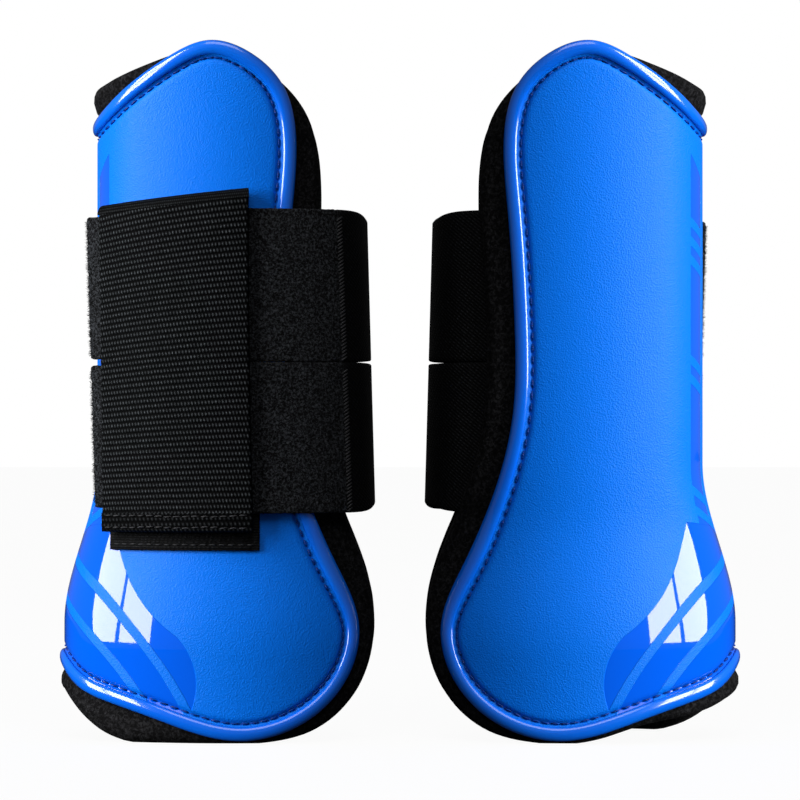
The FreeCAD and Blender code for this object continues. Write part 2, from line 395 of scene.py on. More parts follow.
def makeGroup(name, inputs, outputs):
    tree = bpy.data.node_groups.new(name, "ShaderNodeTree")
    for label, kind, value in inputs:
        socket = tree.interface.new_socket(label, in_out="INPUT", socket_type=kind)
        if value is not None:
            socket.default_value = value
    for label, kind in outputs:
        tree.interface.new_socket(label, in_out="OUTPUT", socket_type=kind)
    return tree, tree.nodes.new("NodeGroupInput"), tree.nodes.new("NodeGroupOutput")


def addNode(tree, kind, **settings):
    node = tree.nodes.new(kind)
    for key, value in settings.items():
        setattr(node, key, value)
    return node


def feed(tree, node, values):
    # Constants are set on the node's sockets, and other nodes' outputs are linked to them.
    for key, value in values.items():
        if isinstance(value, bpy.types.NodeSocket):
            tree.links.new(value, node.inputs[key])
        elif value is not None:
            node.inputs[key].default_value = value


def calc(tree, operation, a, b=None, c=None):
    node = addNode(tree, "ShaderNodeMath", operation=operation)
    feed(tree, node, dict(enumerate((a, b, c))))
    return node.outputs[0]


def remap(tree, value, **limits):
    # A Map Range node; its limits are written fromMin, toMax and so on.
    node = addNode(tree, "ShaderNodeMapRange")
    feed(tree, node, {"Value": value})
    feed(tree, node, {key[:-3].title() + " " + key[-3:]: limit for key, limit in limits.items()})
    return node.outputs[0]


def fineGrainGroup():
    # Small raised pebbles, with broader unevenness under them.
    tree, given, out = makeGroup("fineGrain", [
        ("Vector", "NodeSocketVector", None), ("Size", "NodeSocketFloat", 1500.0),
        ("Unevenness", "NodeSocketFloat", 0.3)],
        [("Height", "NodeSocketFloat"), ("Mottle", "NodeSocketFloat")])
    pebbles = addNode(tree, "ShaderNodeTexVoronoi", feature="SMOOTH_F1")
    feed(tree, pebbles, {"Smoothness": 0.6, "Vector": given.outputs["Vector"],
                         "Scale": given.outputs["Size"]})
    broad = addNode(tree, "ShaderNodeTexNoise")
    feed(tree, broad, {"Detail": 4, "Vector": given.outputs["Vector"],
                       "Scale": calc(tree, "MULTIPLY", given.outputs["Size"], 0.12)})
    mixed = calc(tree, "MULTIPLY_ADD", broad.outputs["Fac"], given.outputs["Unevenness"],
                 pebbles.outputs["Distance"])
    feed(tree, out, {"Height": mixed, "Mottle": broad.outputs["Fac"]})
    return tree


def fuzzGroup():
    # Short tangled fibres: a fine broken height and a light mottle.
    tree, given, out = makeGroup("fibreFuzz", [
        ("Vector", "NodeSocketVector", None), ("Size", "NodeSocketFloat", 900.0)],
        [("Height", "NodeSocketFloat"), ("Mottle", "NodeSocketFloat")])
    fine = addNode(tree, "ShaderNodeTexNoise")
    feed(tree, fine, {"Detail": 6, "Roughness": 0.72, "Distortion": 0.6,
                      "Vector": given.outputs["Vector"], "Scale": given.outputs["Size"]})
    clumps = addNode(tree, "ShaderNodeTexVoronoi", feature="F1")
    feed(tree, clumps, {"Vector": given.outputs["Vector"],
                        "Scale": calc(tree, "MULTIPLY", given.outputs["Size"], 0.9)})
    dips = calc(tree, "MULTIPLY", clumps.outputs["Distance"], 0.45)
    height = calc(tree, "SUBTRACT", fine.outputs["Fac"], dips)
    mottle = remap(tree, fine.outputs["Fac"], fromMin=0.46, fromMax=0.68)
    feed(tree, out, {"Height": height, "Mottle": mottle})
    return tree


# Polished areas, in millimetres on the flat pattern: round from the back line, and up.
leaf = {
    "hollowCentre": (118.0, 125.0), "hollowRadius": 105.8,
    "bulgeCentre": (44.8, 20.1), "bulgeRadius": 22.4, "bulgeStart": (59.0, 37.4),
    "topLine": ((14.0, 74.0), (1.0, 0.1)),
    "bands": (((-28.2, -35.3), 103.1), ((-30.4, -40.1), 95.3)),
    "bandHalf": 1.6,
}
stripe = {
    "middle": 13.5, "halfWidth": 4.4, "top": 202.0,
    "breaks": (176.5, 170.0, 163.5, 129.0, 122.5, 84.0, 77.0), "breakHalf": 1.6, "breakSlope": 0.45,
    "cut": 4.0, "cutSlope": (1.0, 0.9),
}


def panelGroup():
    # Where the shell is polished: a heel leaf and a stripe up the back, both crossed by grained bands.
    tree, given, out = makeGroup("polishedPanels", [("Vector", "NodeSocketVector", None)],
                                 [("Mask", "NodeSocketFloat")])
    split = addNode(tree, "ShaderNodeSeparateXYZ")
    tree.links.new(given.outputs["Vector"], split.inputs[0])
    s = calc(tree, "ABSOLUTE", calc(tree, "MULTIPLY", split.outputs["X"], 1000))
    z = calc(tree, "MULTIPLY", split.outputs["Y"], 1000)

    def circle(centre, radius):
        # Signed distance to a circle: negative inside.
        ds = calc(tree, "SUBTRACT", s, centre[0])
        dz = calc(tree, "SUBTRACT", z, centre[1])
        square = calc(tree, "ADD", calc(tree, "MULTIPLY", ds, ds), calc(tree, "MULTIPLY", dz, dz))
        return calc(tree, "SUBTRACT", calc(tree, "SQRT", square), radius)

    def slope(point, direction):
        # Signed distance to a straight line through the point, positive on its left.
        length = math.hypot(*direction)
        across = calc(tree, "MULTIPLY", calc(tree, "SUBTRACT", z, point[1]), direction[0] / length)
        return calc(tree, "SUBTRACT", across,
                    calc(tree, "MULTIPLY", calc(tree, "SUBTRACT", s, point[0]), direction[1] / length))

    def band(line, halfWidth):
        return calc(tree, "SUBTRACT", calc(tree, "ABSOLUTE", line), halfWidth)

    def both(a, b):
        return calc(tree, "MAXIMUM", a, b)

    centre = leaf["bulgeCentre"]
    ray = [there - here for there, here in zip(centre, leaf["bulgeStart"])]
    bulge = calc(tree, "MINIMUM", circle(centre, leaf["bulgeRadius"]), slope(centre, ray))
    leafEdge = both(calc(tree, "MULTIPLY", circle(leaf["hollowCentre"], leaf["hollowRadius"]), -1), bulge)
    leafTop = slope(leaf["topLine"][0], leaf["topLine"][1])
    leafArea = both(leafEdge, leafTop)
    strips = both(band(calc(tree, "SUBTRACT", s, stripe["middle"]), stripe["halfWidth"]),
                  both(calc(tree, "SUBTRACT", z, stripe["top"]), calc(tree, "MULTIPLY", leafTop, -1)))
    strips = both(strips, slope((stripe["middle"], stripe["top"] - stripe["cut"]), stripe["cutSlope"]))
    polished = calc(tree, "MINIMUM", leafArea, strips)
    for centre, radius in leaf["bands"]:
        polished = both(polished, calc(tree, "MULTIPLY", band(circle(centre, radius), leaf["bandHalf"]), -1))
    for height in stripe["breaks"]:
        line = slope((stripe["middle"], height), (1.0, stripe["breakSlope"]))
        polished = both(polished, calc(tree, "MULTIPLY", band(line, stripe["breakHalf"]), -1))
    # 1 where the distance is negative, with a crisp edge.
    feed(tree, out, {"Mask": remap(tree, polished, fromMin=0.12, fromMax=-0.12)})
    return tree


colours = {
    "shell": (0.0, 0.152, 0.76, 1), "shellDeep": (0.0, 0.098, 0.72, 1),
    "blackFabric": (0.0014, 0.0014, 0.0016, 1), "blackGlint": (0.02, 0.022, 0.026, 1),
    # The two yarn colours are painted shade in the weave's gaps and painted highlight on its yarn tops.
    "yarnGapPaintedShade": (0.0003, 0.0004, 0.0005, 1), "yarnTopPaintedHighlight": (0.2, 0.225, 0.245, 1),
}
grainGroup = fineGrainGroup()
fibreGroup = fuzzGroup()
panels = panelGroup()


def newMaterial(name, values):
    # The material, its tree and shader, and a place on the object for its textures to be read at.
    material = bpy.data.materials.new(name)
    material.use_nodes = True
    tree = material.node_tree
    shader = tree.nodes["Principled BSDF"]
    feed(tree, shader, values)
    return material, tree, shader, addNode(tree, "ShaderNodeTexCoord").outputs["Object"]


def addGroup(tree, group, vector, **values):
    node = addNode(tree, "ShaderNodeGroup", node_tree=group)
    feed(tree, node, {"Vector": vector, **values})
    return node


def mixColours(tree, factor, a, b):
    node = addNode(tree, "ShaderNodeMix", data_type="RGBA")
    feed(tree, node, {"Factor": factor, "A": a, "B": b})
    return node.outputs["Result"]


def bumped(tree, height, strength, distance):
    bump = addNode(tree, "ShaderNodeBump")
    feed(tree, bump, {"Strength": strength, "Distance": distance, "Height": height})
    return bump.outputs["Normal"]


def shellMaterial():
    material, tree, shader, place = newMaterial("mouldedShell", {
        "Coat Roughness": 0.02, "Specular IOR Level": 0.12})
    pattern = addNode(tree, "ShaderNodeUVMap", uv_map="pattern").outputs[0]
    mask = addGroup(tree, panels, pattern).outputs["Mask"]
    grain = addGroup(tree, grainGroup, place, Size=1900.0, Unevenness=0.45)
    gloss = remap(tree, mask, toMin=0.4, toMax=0.035)
    rough = calc(tree, "SUBTRACT", 1.0, mask)
    height = calc(tree, "MULTIPLY", grain.outputs["Height"], rough)
    height = calc(tree, "MULTIPLY_ADD", rough, 1.2, height)
    feed(tree, shader, {
        "Base Color": mixColours(tree, mask, colours["shell"], colours["shellDeep"]), "Coat Weight": mask,
        "Roughness": calc(tree, "MULTIPLY_ADD", grain.outputs["Mottle"], 0.06, gloss),
        "Normal": bumped(tree, height, 0.7, 0.0002)})
    return material


def pipingMaterial():
    material, tree, shader, place = newMaterial("edgePiping", {"Coat Weight": 0.8, "Coat Roughness": 0.05})
    mottle = addGroup(tree, grainGroup, place, Size=260.0, Unevenness=0.8).outputs["Mottle"]
    feed(tree, shader, {
        "Base Color": mixColours(tree, mottle, colours["shellDeep"], colours["shell"]),
        "Roughness": remap(tree, mottle, toMin=0.12, toMax=0.26),
        "Normal": bumped(tree, mottle, 0.12, 0.0004)})
    return material


def twistedThread(name, dark, light, gloss=0.4):
    # Thread with its twist running across it.
    material, tree, shader, place = newMaterial(name, {"Specular IOR Level": 0.2})
    turned = addNode(tree, "ShaderNodeMapping")
    feed(tree, turned, {"Rotation": (0.6, 0.7, 0.5), "Vector": place})
    twist = addNode(tree, "ShaderNodeTexWave", bands_direction="DIAGONAL")
    feed(tree, twist, {"Scale": 620, "Distortion": 1.5, "Vector": turned.outputs[0]})
    twist = twist.outputs["Fac"]
    feed(tree, shader, {
        "Base Color": mixColours(tree, twist, dark, light),
        "Roughness": calc(tree, "MULTIPLY_ADD", twist, 0.15, gloss),
        "Normal": bumped(tree, twist, 0.5, 0.0002)})
    return material


def fabricMaterial(name, size, sheen, bumpHeight, glint, rough=0.75):
    material, tree, shader, place = newMaterial(name, {
        "Sheen Weight": sheen, "Sheen Roughness": 0.4, "Specular IOR Level": 0.06})
    fuzz = addGroup(tree, fibreGroup, place, Size=size)
    feed(tree, shader, {
        "Base Color": mixColours(tree, fuzz.outputs["Mottle"], colours["blackFabric"], glint),
        "Roughness": calc(tree, "MULTIPLY_ADD", fuzz.outputs["Mottle"], -0.15, rough),
        "Normal": bumped(tree, fuzz.outputs["Height"], 0.9, bumpHeight)})
    return material


def twillMaterial(name, pitch, angle):
    # Close diagonal ribs, read on the piece's own pattern map.
    material, tree, shader, place = newMaterial(name, {
        "Sheen Weight": 0.006, "Sheen Roughness": 0.35, "Specular IOR Level": 0.08})
    pattern = addNode(tree, "ShaderNodeUVMap", uv_map="pattern").outputs[0]
    split = addNode(tree, "ShaderNodeSeparateXYZ")
    tree.links.new(pattern, split.inputs[0])
    turns = math.tau / (pitch * mm)
    phase = calc(tree, "ADD", calc(tree, "MULTIPLY", split.outputs["X"], turns * math.cos(angle)),
                 calc(tree, "MULTIPLY", split.outputs["Y"], turns * math.sin(angle)))
    cross = calc(tree, "ADD", calc(tree, "MULTIPLY", split.outputs["X"], -turns * math.sin(angle) * 0.6),
                 calc(tree, "MULTIPLY", split.outputs["Y"], turns * math.cos(angle) * 0.6))
    ribs = calc(tree, "MULTIPLY_ADD", calc(tree, "SINE", phase), 0.5, 0.5)
    bumps = calc(tree, "MULTIPLY_ADD", calc(tree, "SINE", cross), 0.5, 0.5)
    weave = calc(tree, "MULTIPLY", ribs, calc(tree, "MULTIPLY_ADD", bumps, 0.6, 0.4))
    fuzz = addGroup(tree, fibreGroup, place, Size=1400.0)
    light = calc(tree, "MULTIPLY", weave, fuzz.outputs["Mottle"])
    height = calc(tree, "MULTIPLY_ADD", fuzz.outputs["Height"], 0.35, weave)
    feed(tree, shader, {
        "Base Color": mixColours(tree, light, colours["blackFabric"], colours["blackGlint"]),
        "Roughness": calc(tree, "MULTIPLY_ADD", weave, -0.2, 0.72),
        "Normal": bumped(tree, height, 0.8, 0.00025)})
    return material


def webbingMaterial():
    # The weave itself is modelled; this adds the yarn's filaments and their gloss, and paints highlight on
    # the yarn tops and shade in the gaps from the raised value.
    material, tree, shader, place = newMaterial("ribbedWebbing", {"Specular IOR Level": 0.035})
    stretched = addNode(tree, "ShaderNodeMapping")
    feed(tree, stretched, {"Scale": (1.0, 1.0, 3.0), "Vector": place})
    fuzz = addGroup(tree, fibreGroup, stretched.outputs[0], Size=1500.0)
    raised = addNode(tree, "ShaderNodeAttribute", attribute_name="raised").outputs["Fac"]
    # Painted highlight: the most raised yarn tops take the light grey colour, and the gaps stay near black as
    # painted shade.
    lit = calc(tree, "MULTIPLY", calc(tree, "POWER", raised, 4.5),
               calc(tree, "MULTIPLY_ADD", fuzz.outputs["Mottle"], 0.7, 0.4))
    feed(tree, shader, {
        "Base Color": mixColours(tree, lit, colours["yarnGapPaintedShade"], colours["yarnTopPaintedHighlight"]),
        "Roughness": calc(tree, "MULTIPLY_ADD", raised, -0.3, 0.8),
        "Normal": bumped(tree, fuzz.outputs["Height"], 0.5, 0.00012)})
    return material


shellFinish = shellMaterial()
pipingFinish = pipingMaterial()
blueThread = twistedThread("blueThread", (0.0, 0.012, 0.12, 1), (0.0, 0.05, 0.34, 1), 0.3)
blackThread = twistedThread("blackThread", (0.002, 0.002, 0.002, 1), (0.045, 0.046, 0.05, 1), 0.5)
liningFinish = fabricMaterial("paddedLining", 800.0, 0.012, 0.0003, (0.02, 0.02, 0.022, 1), 0.8)
pileFinish = fabricMaterial("loopPile", 1250.0, 0.012, 0.0008, (0.055, 0.06, 0.068, 1))
hookFinish = twillMaterial("hookTape", 0.9, math.radians(90))
elasticFinish = twillMaterial("wovenElastic", 1.0, math.radians(55))
webbingFinish = webbingMaterial()
print("materials made")


shellSheet = {
    "columns": 112, "rows": 96,
    "edge": ((8.5, 0.0), (7.4, -0.02), (6.7, -0.25), (6.2, -0.75), (5.8, -0.9), (5.4, -0.75), (5.0, -0.3),
             (4.4, 0.0), (0.6, 0.0), (0.1, -0.4), (0.0, -1.4), (0.1, -2.6), (0.6, -3.0), (8.5, -3.0)),
}


def buildShell():
    outlines = {-1: shellOutline, 1: shellOutline}
    bm = sheetBody(outlines, shellSheet["edge"], shellSheet["columns"], shellSheet["rows"])
    wrapAll(bm)
    return toPieces(bm, "moulded_shell", "boot", ["shell"], shellFinish)


piping = {"width": 4.9, "rise": 1.55, "segments": 620, "steps": 9}


def buildPiping():
    # A rounded bead: half a flattened ring above the shell's face, tucked over its cut edge.
    half = piping["width"] / 2
    beadRing = []
    for step in range(piping["steps"] + 1):
        angle = math.pi * step / piping["steps"]
        rise = 0.05 + piping["rise"] * math.sin(angle) ** 0.8
        beadRing.append((half - half * math.cos(angle) - 0.15, rise))
    beadRing += [(piping["width"] - 0.6, -0.05), (0.5, -0.05)]
    bm = rimBody(beadRing, piping["segments"])
    wrapAll(bm)
    return toPieces(bm, "edge_piping_bead", "boot", ["edge_piping"], pipingFinish)


stitch = {"pitch": 3.9, "length": 3.3, "width": 0.75, "inset": 5.85, "lift": -0.35, "bow": 0.3}


def buildEdgeStitches():
    # Lock stitches lying in the groove inside the bead, each a little out of line.
    bm = bmesh.new()
    count = int(shellOutline.length / stitch["pitch"])
    for side in (-1, 1):
        for number in range(count):
            t = (number + 0.5) / count
            middle = shellOutline.at(t, stitch["inset"])
            ahead = shellOutline.at(t + 0.001, stitch["inset"])
            before = shellOutline.at(t - 0.001, stitch["inset"])
            turned = math.atan2(ahead[1] - before[1], ahead[0] - before[0]) + rng.uniform(-0.06, 0.06)
            for vert, along, across, up in threadBar(bm, stitch["length"], stitch["width"], stitch["width"],
                                                     stitch["bow"]):
                flatX = along * math.cos(turned) - across * math.sin(turned)
                flatZ = along * math.sin(turned) + across * math.cos(turned)
                vert.co = Vector((side * (middle[0] + flatX), stitch["lift"] + up, middle[1] + flatZ))
    wrapAll(bm, stitchGap)
    return toPieces(bm, "edge_stitches", "boot", ["edge_stitching"], blueThread)


buildShell()
buildPiping()
buildEdgeStitches()


liningSheet = {
    "roll": 2.1, "columns": 96, "rows": 84,
    "edge": ((14.0, -3.6), (12.8, -3.3), (11.0, -1.9), (8.5, -1.2), (5.0, -0.85), (2.6, -1.0), (1.0, -1.7),
             (0.25, -3.0), (0.0, -4.6), (0.15, -6.4), (0.9, -8.2), (2.4, -9.2), (5.0, -9.5), (14.0, -9.5)),
}


def liningPucker(co):
    # Foam never lies quite flat: slow waves, and a fat roll where it stands past the shell at the back.
    broad = noise.noise(Vector((co.x * 0.035, co.y * 0.02, co.z * 0.035)))
    fine = noise.noise(Vector((co.x * 0.14, 3.1, co.z * 0.14)))
    lift = 0.35 * broad + 0.12 * fine
    spot = np.array((abs(co.x), co.z))
    away = shellOutline.points - spot
    nearest = int(np.argmin((away**2).sum(axis=1)))
    outside = float(away[nearest] @ shellOutline.inward[nearest])
    if outside > 0 and co.y > -5:
        gap = math.hypot(*away[nearest])
        lift += liningSheet["roll"] * (1 - math.exp(-(gap / 3.0) ** 2)) * smoothStep((62 - abs(co.x)) / 40)
    return lift


def buildLining():
    bm = sheetBody(liningOutlines, liningSheet["edge"], liningSheet["columns"], liningSheet["rows"],
                   liningPucker)
    for vert in bm.verts:
        vert.co.z = max(vert.co.z, 0.02)
    wrapAll(bm)
    pieces = toPieces(bm, "padded_lining", "boot", ["lining"], liningFinish)
    return pieces


buildLining()


flankCentreY = column["calfDepth"]
strap = {
    "height": 49.0, "bottoms": {"lower": 80.0, "upper": 131.0}, "radius": 70.8,
    "tailThickness": 1.6, "elasticThickness": 1.4, "tipX": -47.2, "seamX": 39.5, "seamWidth": 2.4,
    "flare": {"lower": (-1.6, 1.05), "upper": (-0.85, 2.4)}, "flareStart": -14.0, "flareRun": 22.0,
    "lean": 2.2,
}
seamAngle = math.asin(strap["seamX"] / strap["radius"])
tipAngle = math.asin(strap["tipX"] / strap["radius"])


def flared(place, bottom, share, z):
    # The tape is drawn out a little taller where the stretched elastic pulls on it.
    low, high = strap["flare"][place]
    height = (z - bottom) / strap["height"]
    return z + smoothStep(share) * (low * (1 - height) + high * height)


def strapLean(z):
    # The leg widens downward, so the tapes lie slightly askew: the lower, the further forward.
    return strap["lean"] * (130 - z) / 50


def onFlank(radius, angle, z):
    return Vector((radius * math.sin(angle), flankCentreY - radius * math.cos(angle), z)) * mm


def bendRound(bm, radius, tidy=mergeGap):
    # Flat pieces, x along the arc and y inward, bent to the flank's radius.
    mapPattern(bm)
    for vert in bm.verts:
        vert.co = onFlank(radius - vert.co.y, vert.co.x / radius, vert.co.z)
    bmesh.ops.remove_doubles(bm, verts=bm.verts, dist=tidy)


def roundedPanel(bm, xRange, zRange, thickness, columns, rows, shape=None):
    # A flat panel with softened edges: front and back grids joined round the rim.
    edgeRound = min(0.7, thickness / 2)
    width, height = xRange[1] - xRange[0], zRange[1] - zRange[0]

    def face(depth, inset):
        def put(u, v):
            x = xRange[0] + inset + (width - 2 * inset) * u
            z = zRange[0] + inset + (height - 2 * inset) * v
            return Vector((x, depth, z))
        return gridFrom(bm, columns, rows, put)

    face(0.0, edgeRound * 0.5)
    edges = openEdges(bm)
    for depth, inset in ((thickness * 0.2, 0.0), (thickness * 0.8, 0.0), (thickness, edgeRound * 0.5)):
        verts, edges = growRim(bm, edges)
        wantedLow = (xRange[0] + inset, zRange[0] + inset)
        wantedHigh = (xRange[1] - inset, zRange[1] - inset)
        for vert in verts:
            x, z = vert.co.x, vert.co.z
            u = (x - xRange[0]) / width
            v = (z - zRange[0]) / height
            if u < 0.5 / columns:
                x = wantedLow[0]
            elif u > 1 - 0.5 / columns:
                x = wantedHigh[0]
            if v < 0.5 / rows:
                z = wantedLow[1]
            elif v > 1 - 0.5 / rows:
                z = wantedHigh[1]
            vert.co = Vector((x, depth, z))
    face(thickness, edgeRound * 0.5)
    bmesh.ops.remove_doubles(bm, verts=bm.verts, dist=0.05)
    bmesh.ops.recalc_face_normals(bm, faces=bm.faces)
    if shape:
        for vert in bm.verts:
            vert.co = shape(vert.co.copy())


def pileRise(co):
    # The brushed loops lie unevenly in small tufts.
    tufts = noise.noise(Vector((co.x * 1.1, co.z * 1.1, 1.7)))
    coarse = noise.noise(Vector((co.x * 0.3, co.z * 0.3, 8.3)))
    return 0.34 * tufts + 0.16 * coarse


def addFibre(bm, base, heading, length, thickness):
    # One tiny curved hair: a tapered three-sided stalk.
    made = bmesh.ops.create_cone(bm, cap_ends=True, segments=3, radius1=thickness, radius2=thickness * 0.4,
                                 depth=length, matrix=Matrix.Translation((0, 0, length / 2)))["verts"]
    turn = Vector((0, 0, 1)).rotation_difference(heading.normalized()).to_matrix()
    for vert in made:
        vert.co = base + turn @ vert.co


fuzz = {"perMm": 12.0, "length": 0.95, "thickness": 0.07}


def buildTail(place, bottom):
    radius = strap["radius"] + strap["tailThickness"] / 2
    first, last = tipAngle * radius, seamAngle * radius
    top = bottom + strap["height"]
    bm = bmesh.new()

    def shape(co):
        # The tip is cut nearly square, and its pile frays along the edges.
        reach = 1.6
        fromTip = co.x - first
        for edge, sign in ((bottom, 1), (top, -1)):
            fromEdge = (co.z - edge) * sign
            if fromTip < reach and fromEdge < reach:
                a, b = reach - fromTip, reach - fromEdge
                far = math.hypot(a, b)
                if far > reach:
                    co.x = first + reach - a * reach / far
                    co.z = edge + sign * (reach - b * reach / far)
        ragged = noise.noise(Vector((co.x * 1.3, co.z * 1.3, 5.1)))
        if fromTip < 0.6:
            co.x += 0.45 * ragged
        if min(co.z - bottom, top - co.z) < 0.6:
            co.z += 0.22 * ragged
        if co.y < strap["tailThickness"] * 0.5:
            co.y -= pileRise(co) * 0.6 - 0.08
        co.z = flared(place, bottom, (co.x - strap["flareStart"]) / strap["flareRun"], co.z)
        co.x += strapLean(co.z)
        return co

    roundedPanel(bm, (first, last), (bottom, top), strap["tailThickness"], 110, 62, shape)
    # Pile standing past the cut edges at the tip.
    for _ in range(int(strap["height"] * fuzz["perMm"])):
        z = rng.uniform(bottom + 1.5, top - 1.5)
        heading = Vector((-1, rng.uniform(-0.9, 0.3), rng.uniform(-0.9, 0.9)))
        addFibre(bm, Vector((first + 0.3 + strapLean(z), rng.uniform(0, 0.7), z)), heading,
                 fuzz["length"] * rng.uniform(0.5, 1.2), fuzz["thickness"])
    bendRound(bm, radius, stitchGap)
    return toPieces(bm, f"{place}_loop_tail", f"{place}_strap", [f"{place}_strap_tail"],
                    pileFinish)


def buildSeam(place, bottom):
    # Zigzag overlock stitches over the joint of tape and elastic.
    radius = strap["radius"] + strap["tailThickness"] / 2
    middle = seamAngle * radius
    bm = bmesh.new()
    pitch, rise = 1.15, 1.6
    lean = math.atan2(rise, strap["seamWidth"])
    for number in range(int((strap["height"] - 2) / pitch)):
        z = flared(place, bottom, 1.0, bottom + 1.2 + number * pitch)
        for vert, along, across, up in threadBar(bm, 2.7, 0.62, 0.6, 0.175):
            flatX = middle + strapLean(z) + along * math.cos(lean) - across * math.sin(lean)
            vert.co = Vector((flatX, -0.35 - up, z + along * math.sin(lean) + across * math.cos(lean)))
    bendRound(bm, radius, stitchGap)
    bmesh.ops.recalc_face_normals(bm, faces=bm.faces)
    return toPieces(bm, f"{place}_overlock_seam", f"{place}_strap", [f"{place}_strap_seam"],
                    blackThread)


elastic = {
    "bend": ((45.6, -16.8), (48.3, -2.0), (45.4, 10.4), (39.2, 17.6)), "anchorDepth": 4.05,
    "meetX": 31.0, "endX": 14.0, "columns": 90, "rows": 34,
    "turnShare": 0.36, "turnSpread": 0.17, "pullBetween": 0.6, "pullOutside": 3.4,
}


def elasticLine():
    anchorRadius = 2 * column["calfDepth"] - elastic["anchorDepth"]
    angles = [math.asin(elastic["meetX"] / anchorRadius), math.asin(elastic["endX"] / anchorRadius)]
    points = []
    for lead in (-0.06, 0.0):
        point = onFlank(strap["radius"], seamAngle + lead, 0) / mm
        points.append((point.x, point.y))
    points += list(elastic["bend"])
    for step in range(4):
        angle = angles[0] + (angles[1] - angles[0]) * step / 3
        points.append((anchorRadius * math.sin(angle), anchorRadius * math.cos(angle) - column["calfDepth"]))
    line = smoothLine(points, 400)
    start = int(np.argmin(np.hypot(*(line - np.array(points[1])).T)))
    return line[start:]


def buildElastic(place, bottom):
    line = elasticLine()
    runs = np.r_[0, np.cumsum(np.hypot(*np.diff(line, axis=0).T))]
    top = bottom + strap["height"]
    bm = bmesh.new()
    roundedPanel(bm, (0.0, runs[-1]), (bottom, top), strap["elasticThickness"], elastic["columns"],
                 elastic["rows"])
    mapPattern(bm)
    for vert in bm.verts:
        run = min(max(vert.co.x, 0.0), runs[-1])
        x, y = np.interp(run, runs, line[:, 0]), np.interp(run, runs, line[:, 1])
        ends = min(run + 0.3, runs[-1]), max(run - 0.3, 0.0)
        heading = Vector([ahead - back for ahead, back in
                          (np.interp(ends, runs, line[:, axis]) for axis in (0, 1))]).normalized()
        outward = Vector((heading.y, -heading.x))
        lift = strap["elasticThickness"] / 2 - vert.co.y
        # The stretched edges draw in where the band turns the open front.
        share = run / runs[-1]
        turning = math.exp(-((share - elastic["turnShare"]) / elastic["turnSpread"]) ** 2)
        height = (vert.co.z - bottom) / strap["height"]
        facing = elastic["pullBetween"] if (place == "upper") == (height < 0.5) else elastic["pullOutside"]
        z = flared(place, bottom, 1.0, vert.co.z) - facing * turning * (2 * height - 1)
        shift = strapLean(z) * (1 - smoothStep(share))
        x += shift * math.cos(seamAngle)
        y += shift * math.sin(seamAngle)
        vert.co = Vector((x + outward.x * lift, y + outward.y * lift, z)) * mm
    bmesh.ops.remove_doubles(bm, verts=bm.verts, dist=mergeGap)
    bmesh.ops.recalc_face_normals(bm, faces=bm.faces)
    start = Vector((35, 21, bottom + 24)) * mm
    end = Vector((35, -24.5, bottom + 24)) * mm
    return toPieces(bm, f"{place}_elastic_band", "boot", [f"{place}_strap_elastic"],
                    elasticFinish, blendTo=(f"{place}_strap", start, end))


for place, bottom in strap["bottoms"].items():
    buildTail(place, bottom)
    buildSeam(place, bottom)
    buildElastic(place, bottom)


flap = {
    "radius": 75.2, "thickness": 2.0, "backX": -43.7, "frontX": 7.6, "bottom": 72.0, "innerRadius": 73.2,
    "foldHeight": 183.2, "foldTilt": 6.0, "foldRadius": 71.6, "rows": 57, "bumps": 47, "relief": 0.5,
    "bindingRows": 3.4, "skew": 1.6, "columns": 200, "fineRows": 340, "foldColumns": 300, "foldRows": 40,
    "foldRibs": 9.0,
}
flapFirst = math.asin(flap["backX"] / flap["innerRadius"])
flapLast = math.asin(flap["frontX"] / flap["innerRadius"])
flapMiddle = (flapFirst + flapLast) / 2


def foldLine(angle):
    tilt = math.tan(math.radians(flap["foldTilt"]))
    return flap["foldHeight"] + tilt * flap["foldRadius"] * math.sin(angle - flapMiddle)


def weaveHeight(row, bump):
    # Rows of slanted yarn floats, every other row shifted half a float: 0 in the gaps, 1 on top.
    whole = math.floor(row)
    part = row - whole
    rib = math.sin(math.pi * part) ** 0.7
    slant = bump + 0.5 * (whole % 2) + 0.32 * (part - 0.5)
    yarn = 0.5 + 0.5 * math.cos(math.tau * slant)
    return rib * (0.3 + 0.7 * yarn**0.8)


def weaveRow(u, v):
    # The rows climb a little toward the front, most of all near the back edge and the fold.
    return v * flap["rows"] + 1.5 * (1 - u) ** 2 * (0.25 + 0.75 * v)


